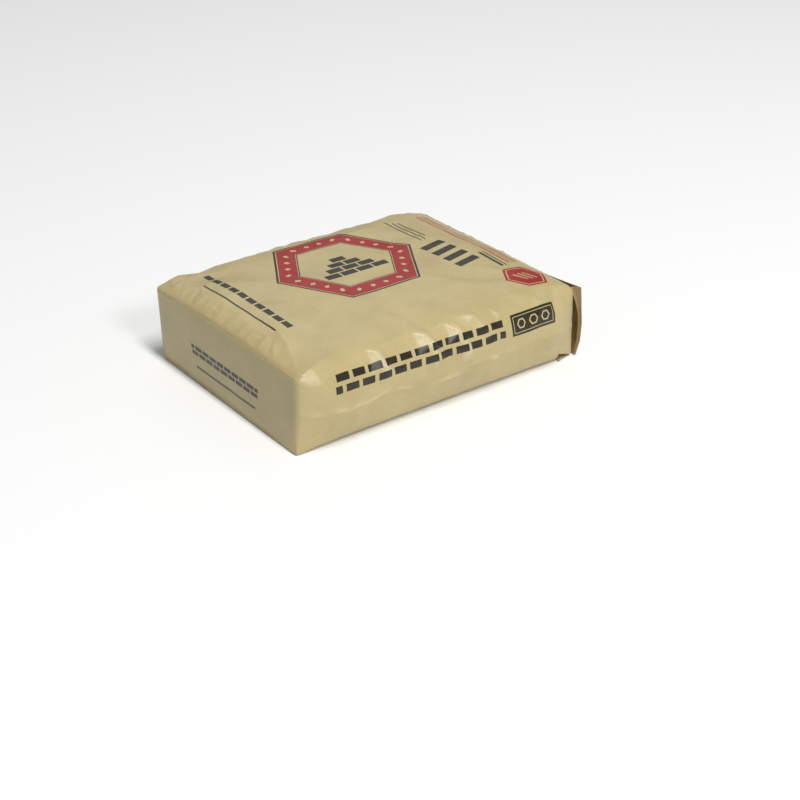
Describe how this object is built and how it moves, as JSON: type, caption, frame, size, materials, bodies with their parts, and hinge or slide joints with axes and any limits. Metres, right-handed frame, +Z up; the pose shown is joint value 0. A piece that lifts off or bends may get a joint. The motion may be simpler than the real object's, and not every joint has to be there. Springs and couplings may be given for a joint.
{
  "type": "cement bag",
  "caption": "Filled block-bottom paper valve sack lying flat: kraft tube with crowned top and creased sides, folded square ends with cover patches, and a filling valve at one corner.",
  "frame": {"origin": "centre of the flat underside, on the floor, midway between the two end walls and between the two long sides", "axes": "+X along the sack from the closed end to the valve end, +Y across the sack away from the valve corner, +Z up"},
  "size_m": [0.5445, 0.4334, 0.1435],
  "materials": {
    "kraft_paper": "semi-gloss machine-glazed kraft, lightly crumpled and printed",
    "patch_kraft_paper": "semi-gloss machine-glazed kraft, smooth",
    "sleeve_kraft_paper": "matte unglazed kraft",
    "cement_powder": "matte grey powder"
  },
  "bodies": {
    "root": {"sack_tube": "kraft_paper", "closed_end_patch": "patch_kraft_paper", "valve_end_patch": "patch_kraft_paper", "valve_sleeve": "sleeve_kraft_paper", "cement_fill": "cement_powder"}
  },
  "joints": []
}
